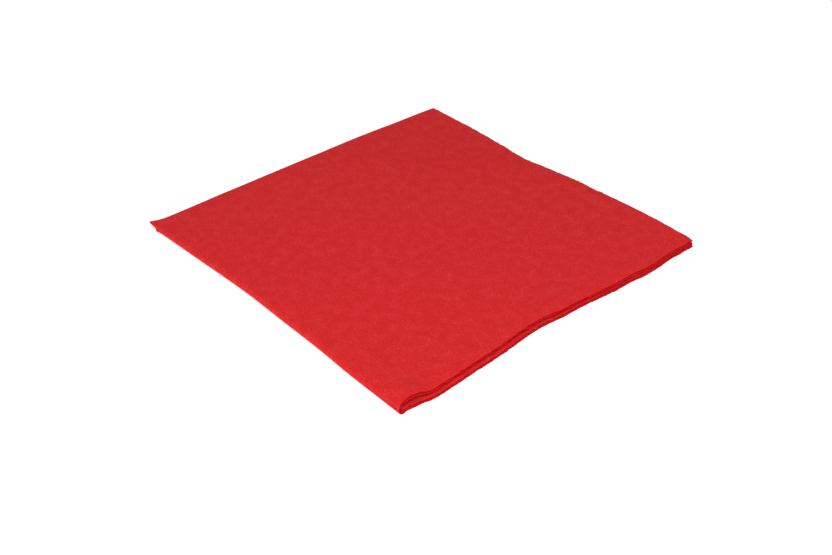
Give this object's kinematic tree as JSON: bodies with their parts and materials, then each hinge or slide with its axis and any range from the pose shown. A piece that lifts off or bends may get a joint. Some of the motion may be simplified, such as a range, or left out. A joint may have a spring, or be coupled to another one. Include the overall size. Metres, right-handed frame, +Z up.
{
  "type": "folded paper napkin",
  "caption": "Square paper napkin folded into a flat quarter, with a rounded spine on one side, a crisp fold on the next and cut edges on the others.",
  "frame": {"origin": "middle of the folded napkin's footprint, at the height of its underside", "axes": "+Z up through the layers, -Y towards the spine that the four layers turn round, -X towards the first fold; the cut edges are on +X and +Y"},
  "size_m": [0.2042, 0.2044, 0.007],
  "materials": {
    "red_paper": "matte, soft, air-laid paper dyed red all through"
  },
  "bodies": {
    "root": {"napkin": "red_paper"}
  },
  "joints": []
}
